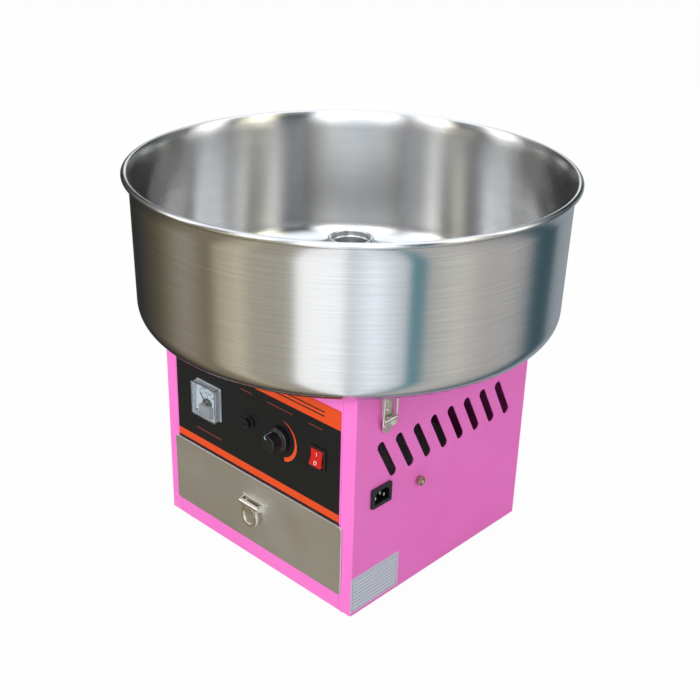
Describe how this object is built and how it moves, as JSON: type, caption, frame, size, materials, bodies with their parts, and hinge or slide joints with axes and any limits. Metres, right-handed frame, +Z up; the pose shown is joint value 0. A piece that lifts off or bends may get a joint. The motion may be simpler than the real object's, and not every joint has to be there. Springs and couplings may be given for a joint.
{
  "type": "cotton candy machine",
  "caption": "Tabletop cotton candy machine: sheet cabinet with meter, knob, switch and drawer, and a wide steel bowl with a spinner head, clamped by toggle latches.",
  "frame": {"origin": "on the table under the spindle, the middle of the cabinet, bowl and feet", "axes": "+Z up along the spindle, -Y out of the control panel and drawer front, +X to the right as seen from the front"},
  "size_m": [0.52, 0.52, 0.4757],
  "materials": {
    "powder_coat": "pink powder coat, light orange peel",
    "bowl_steel": "spun and polished stainless steel",
    "drawer_steel": "satin stainless sheet",
    "zinc_plate": "zinc plated steel",
    "nickel_plate": "nickel plated steel",
    "head_metal": "turned aluminium",
    "motor_paint": "black stoved enamel",
    "winding": "laminations and copper windings",
    "brass": "turned brass",
    "rubber": "moulded black rubber",
    "black_plastic": "moulded black plastic",
    "label_print": "printed polycarbonate film, black with orange bands",
    "red_plastic": "moulded red plastic",
    "white_plastic": "moulded white plastic",
    "clear_plastic": "clear moulded acrylic",
    "carbon": "pressed carbon",
    "heater_ribbon": "oxidised resistance ribbon"
  },
  "bodies": {
    "cabinet": {"side_panel_right": "powder_coat", "side_panel_left": "powder_coat", "base_pan": "powder_coat", "back_panel": "powder_coat", "top_plate": "powder_coat", "front_panel": "powder_coat", "control_label": "label_print", "foot_front_left": "rubber", "foot_front_right": "rubber", "foot_rear_left": "rubber", "foot_rear_right": "rubber", "bowl": "bowl_steel", "bowl_gasket": "rubber", "motor_housing": "motor_paint", "motor_end_bell": "zinc_plate", "bearing_upper": "nickel_plate", "bearing_lower": "nickel_plate", "motor_stator": "winding", "motor_bracket": "zinc_plate", "brush_holder": "black_plastic", "carbon_brush_lower": "carbon", "carbon_brush_upper": "carbon", "drawer_runner_left": "zinc_plate", "drawer_runner_right": "zinc_plate", "meter_body": "white_plastic", "meter_cover": "clear_plastic", "fuse_holder": "black_plastic", "heat_control": "black_plastic", "switch_housing": "black_plastic", "power_inlet": "black_plastic", "earth_terminal": "brass", "latch_base_front_left": "nickel_plate", "latch_base_front_right": "nickel_plate", "latch_base_rear_left": "nickel_plate", "latch_base_rear_right": "nickel_plate"},
    "spinner": {"spindle_shaft": "zinc_plate", "motor_rotor": "winding", "cooling_fan": "black_plastic", "slip_ring_assembly": "brass", "head_base": "head_metal", "heater_element": "heater_ribbon", "head_screen": "nickel_plate", "head_cover": "head_metal"},
    "drawer": {"drawer_box": "zinc_plate", "drawer_front": "drawer_steel", "pull_bracket": "nickel_plate"},
    "ring_pull": {"pull_ring": "nickel_plate"},
    "knob": {"heat_knob": "black_plastic", "heat_control_shaft": "brass"},
    "rocker": {"switch_rocker": "red_plastic"},
    "needle": {"meter_needle": "red_plastic"},
    "fuse_lid": {"fuse_cap": "black_plastic"},
    "lever_front_left": {"latch_lever_front_left": "nickel_plate"},
    "loop_front_left": {"latch_loop_front_left": "nickel_plate"},
    "lever_front_right": {"latch_lever_front_right": "nickel_plate"},
    "loop_front_right": {"latch_loop_front_right": "nickel_plate"},
    "lever_rear_left": {"latch_lever_rear_left": "nickel_plate"},
    "loop_rear_left": {"latch_loop_rear_left": "nickel_plate"},
    "lever_rear_right": {"latch_lever_rear_right": "nickel_plate"},
    "loop_rear_right": {"latch_loop_rear_right": "nickel_plate"}
  },
  "joints": [
    {"name": "spindle_spin", "type": "hinge", "parent": "cabinet", "child": "spinner", "pos_m": [0, 0, 0.2], "axis": [0, 0, 1], "continuous": true},
    {"name": "drawer_slide", "type": "slide", "parent": "cabinet", "child": "drawer", "axis": [0, -1, 0], "range_m": [0, 0.2]},
    {"name": "pull_ring_swing", "type": "hinge", "parent": "drawer", "child": "ring_pull", "pos_m": [0, -0.1636, 0.091], "axis": [-1, 0, 0], "range_deg": [0, 160]},
    {"name": "heat_knob_turn", "type": "hinge", "parent": "cabinet", "child": "knob", "pos_m": [0.046, -0.165, 0.199], "axis": [0, 1, 0], "range_deg": [0, 270]},
    {"name": "switch_rocker_tilt", "type": "hinge", "parent": "cabinet", "child": "rocker", "pos_m": [0.106, -0.1531, 0.199], "axis": [1, 0, 0], "range_deg": [0, 20]},
    {"name": "meter_needle_swing", "type": "hinge", "parent": "cabinet", "child": "needle", "pos_m": [-0.078, -0.159, 0.1955], "axis": [0, 1, 0], "range_deg": [0, 90], "stiffness_Nm_per_rad": 0.002},
    {"name": "fuse_cap_turn", "type": "hinge", "parent": "cabinet", "child": "fuse_lid", "pos_m": [-0.006, -0.16, 0.199], "axis": [0, -1, 0], "range_deg": [0, 90]},
    {"name": "latch_lever_front_left_swing", "type": "hinge", "parent": "cabinet", "child": "lever_front_left", "pos_m": [-0.1658, -0.107, 0.253], "axis": [0, 1, 0], "range_deg": [0, 85]},
    {"name": "latch_loop_front_left_swing", "type": "hinge", "parent": "lever_front_left", "child": "loop_front_left", "pos_m": [-0.1648, -0.107, 0.246], "axis": [0, 1, 0], "range_deg": [-72, 0]},
    {"name": "latch_lever_front_right_swing", "type": "hinge", "parent": "cabinet", "child": "lever_front_right", "pos_m": [0.1658, -0.107, 0.253], "axis": [0, -1, 0], "range_deg": [0, 85]},
    {"name": "latch_loop_front_right_swing", "type": "hinge", "parent": "lever_front_right", "child": "loop_front_right", "pos_m": [0.1648, -0.107, 0.246], "axis": [0, -1, 0], "range_deg": [-72, 0]},
    {"name": "latch_lever_rear_left_swing", "type": "hinge", "parent": "cabinet", "child": "lever_rear_left", "pos_m": [-0.1658, 0.107, 0.253], "axis": [0, 1, 0], "range_deg": [0, 85]},
    {"name": "latch_loop_rear_left_swing", "type": "hinge", "parent": "lever_rear_left", "child": "loop_rear_left", "pos_m": [-0.1648, 0.107, 0.246], "axis": [0, 1, 0], "range_deg": [-72, 0]},
    {"name": "latch_lever_rear_right_swing", "type": "hinge", "parent": "cabinet", "child": "lever_rear_right", "pos_m": [0.1658, 0.107, 0.253], "axis": [0, -1, 0], "range_deg": [0, 85]},
    {"name": "latch_loop_rear_right_swing", "type": "hinge", "parent": "lever_rear_right", "child": "loop_rear_right", "pos_m": [0.1648, 0.107, 0.246], "axis": [0, -1, 0], "range_deg": [-72, 0]}
  ],
  "couplings": [
    {"joint": "latch_loop_front_left_swing", "follows": "latch_lever_front_left_swing", "ratio": -0.825},
    {"joint": "latch_loop_front_right_swing", "follows": "latch_lever_front_right_swing", "ratio": -0.825},
    {"joint": "latch_loop_rear_left_swing", "follows": "latch_lever_rear_left_swing", "ratio": -0.825},
    {"joint": "latch_loop_rear_right_swing", "follows": "latch_lever_rear_right_swing", "ratio": -0.825}
  ]
}
